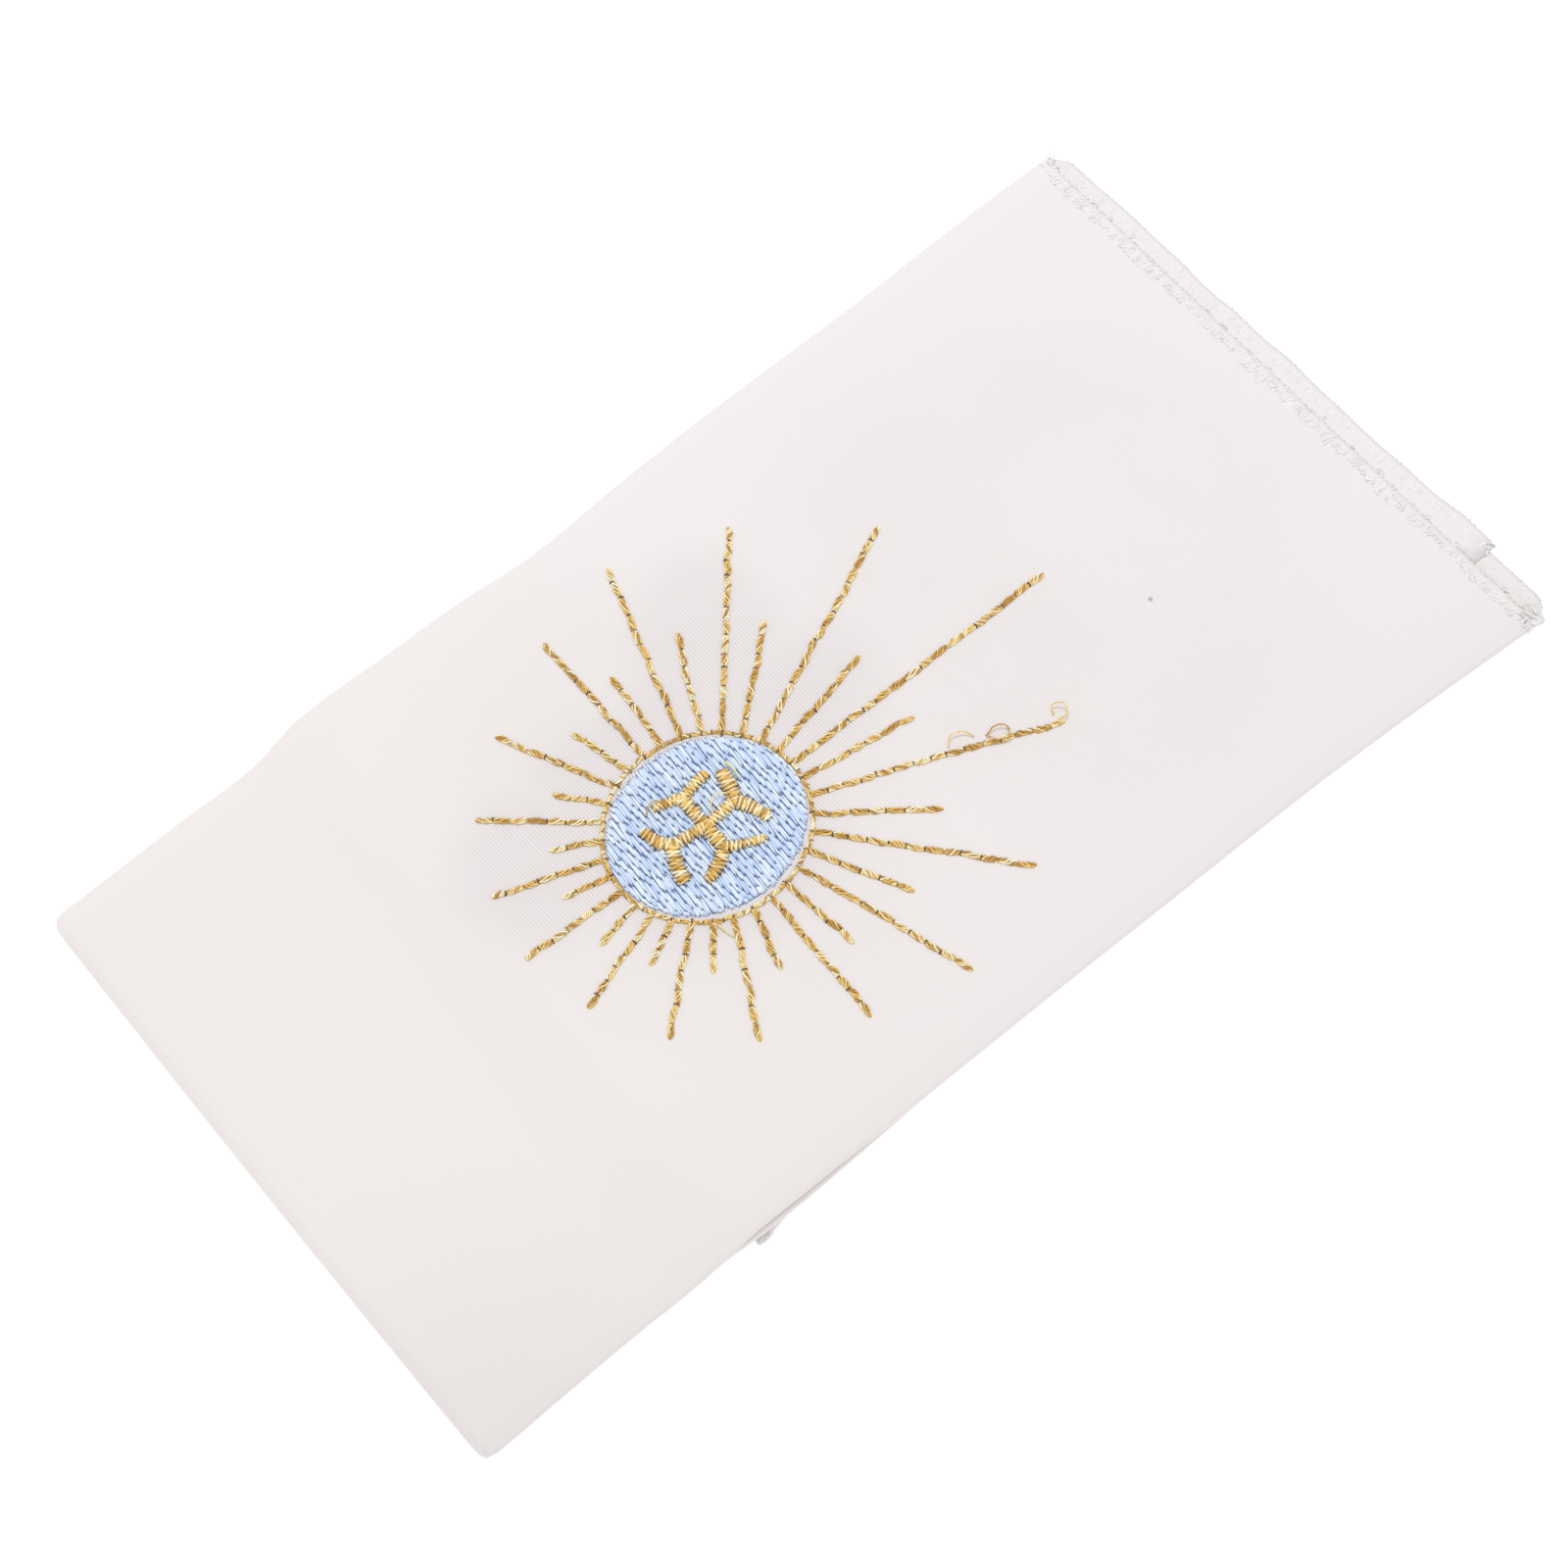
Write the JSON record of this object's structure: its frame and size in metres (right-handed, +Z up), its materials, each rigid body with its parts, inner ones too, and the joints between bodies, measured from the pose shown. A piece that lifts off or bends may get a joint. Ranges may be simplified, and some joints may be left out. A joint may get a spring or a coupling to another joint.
{
  "type": "folded corporal",
  "caption": "Small white embroidered altar cloth, folded flat into a long packet with an overlocked hem at one end.",
  "frame": {"origin": "on the table, under the middle of the folded cloth's box", "axes": "+X along the length to the overlocked hem of the top layer, +Y to the straight back fold, +Z up off the table"},
  "size_m": [0.1722, 0.0899, 0.0047],
  "materials": {
    "cloth": "fine plain-woven off-white cotton, matt, a little sheer",
    "gold_thread": "gold-yellow rayon embroidery thread, satin sheen",
    "blue_thread": "light blue rayon embroidery thread, satin sheen",
    "white_thread": "shiny white overlock thread"
  },
  "bodies": {
    "root": {"cloth": "cloth"}
  },
  "joints": []
}
